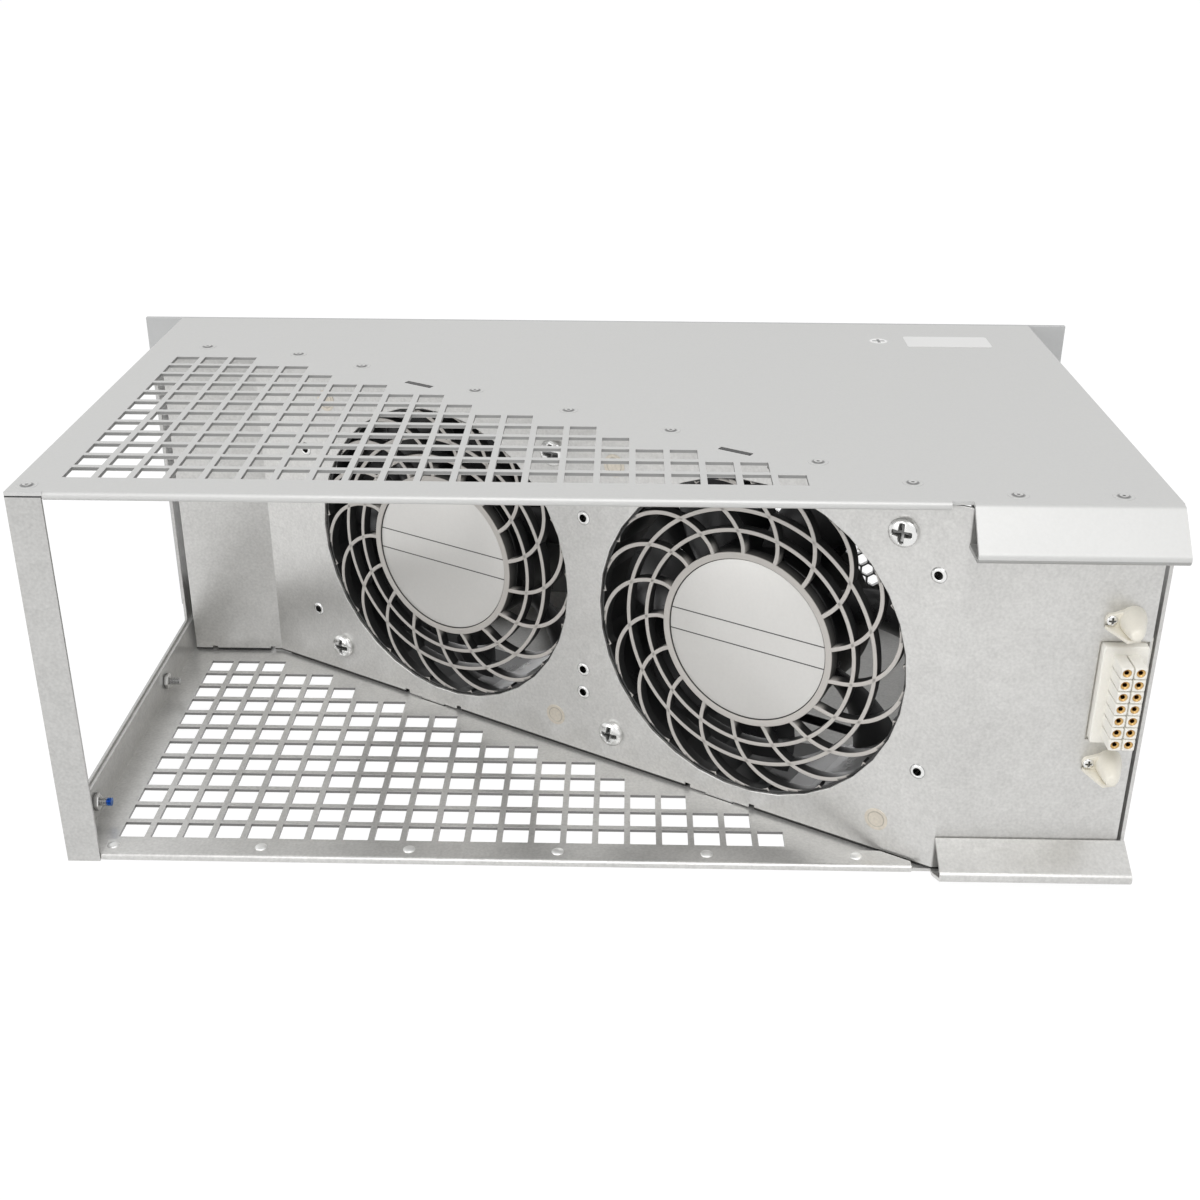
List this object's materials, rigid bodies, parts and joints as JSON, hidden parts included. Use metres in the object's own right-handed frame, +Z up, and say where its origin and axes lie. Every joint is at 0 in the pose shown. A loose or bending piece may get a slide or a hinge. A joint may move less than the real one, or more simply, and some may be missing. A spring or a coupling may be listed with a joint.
{
  "type": "rack fan module",
  "caption": "Slide-in rack fan module: folded perforated sheet case, slanted bulkhead carrying axial fans with spiral guards, blind-mate connector, faceplate with ears and pull handle.",
  "frame": {"origin": "on the underside of the tray, midway across and midway along the case", "axes": "+X across to the connector side, +Y from the open rear to the faceplate, +Z up"},
  "size_m": [0.383, 0.2486, 0.133],
  "materials": {
    "cover_sheet": "smooth zinc plated sheet",
    "case_sheet": "galvanised",
    "zinc_fastener": "bright zinc",
    "guard_plastic": "grey moulded",
    "black_plastic": "black moulded",
    "label_foil": "bare satin foil",
    "motor_core": "stacked sheets",
    "copper": "enamelled wire",
    "board": "circuit board",
    "bearing_steel": "ground",
    "lead_cover": "sleeved wire",
    "ivory_plastic": "moulded",
    "contact_brass": "plated",
    "clip_plastic": "moulded",
    "front_plate": "satin paint",
    "honeycomb": "satin",
    "spring_steel": "wire"
  },
  "bodies": {
    "chassis": {"top_cover": "cover_sheet", "bottom_tray": "case_sheet", "left_side_frame": "case_sheet", "bulkhead": "case_sheet", "bulkhead_inserts": "zinc_fastener", "faceplate": "front_plate", "left_vent": "honeycomb", "right_vent": "honeycomb", "handle": "front_plate", "handle_screws": "zinc_fastener", "fan_screws": "zinc_fastener", "connector_housing": "ivory_plastic", "connector_contacts": "contact_brass", "connector_guides": "ivory_plastic", "connector_screws": "zinc_fastener", "lead_clips": "clip_plastic", "rail_screws": "zinc_fastener", "cover_screw": "zinc_fastener", "left_fan_frame": "black_plastic", "left_fan_guard": "guard_plastic", "left_fan_label": "label_foil", "left_fan_board": "board", "left_fan_stator": "motor_core", "left_fan_windings": "copper", "left_fan_bearings": "bearing_steel", "left_fan_lead": "lead_cover", "left_screw_ferrule": "zinc_fastener", "right_fan_frame": "black_plastic", "right_fan_guard": "guard_plastic", "right_fan_label": "label_foil", "right_fan_board": "board", "right_fan_stator": "motor_core", "right_fan_windings": "copper", "right_fan_bearings": "bearing_steel", "right_fan_lead": "lead_cover", "right_screw_ferrule": "zinc_fastener"},
    "left_rotor": {"left_fan_impeller": "black_plastic", "left_fan_shaft": "bearing_steel", "left_fan_magnet": "motor_core"},
    "left_spring_seat": {"left_screw_spring": "spring_steel"},
    "left_screw": {"left_captive_screw": "zinc_fastener"},
    "right_rotor": {"right_fan_impeller": "black_plastic", "right_fan_shaft": "bearing_steel", "right_fan_magnet": "motor_core"},
    "right_spring_seat": {"right_screw_spring": "spring_steel"},
    "right_screw": {"right_captive_screw": "zinc_fastener"}
  },
  "joints": [
    {"name": "left_fan_spin", "type": "hinge", "parent": "chassis", "child": "left_rotor", "pos_m": [-0.05937, 0.00764, 0.0665], "axis": [0.521, 0.8536, 0], "continuous": true},
    {"name": "left_screw_push", "type": "slide", "parent": "chassis", "child": "left_spring_seat", "axis": [0, -1, 0], "range_m": [0, 0.005], "stiffness_N_per_m": 400, "springref_m": -0.002, "deforming": ["left_screw_spring"]},
    {"name": "left_screw_turn", "type": "hinge", "parent": "left_spring_seat", "child": "left_screw", "pos_m": [-0.18374, 0.09974, 0.0665], "axis": [0, 1, 0], "continuous": true},
    {"name": "right_fan_spin", "type": "hinge", "parent": "chassis", "child": "right_rotor", "pos_m": [0.05159, -0.06009, 0.0665], "axis": [0.521, 0.8536, 0], "continuous": true},
    {"name": "right_screw_push", "type": "slide", "parent": "chassis", "child": "right_spring_seat", "axis": [0, -1, 0], "range_m": [0, 0.005], "stiffness_N_per_m": 400, "springref_m": -0.002, "deforming": ["right_screw_spring"]},
    {"name": "right_screw_turn", "type": "hinge", "parent": "right_spring_seat", "child": "right_screw", "pos_m": [0.18374, 0.09974, 0.0665], "axis": [0, 1, 0], "continuous": true}
  ]
}
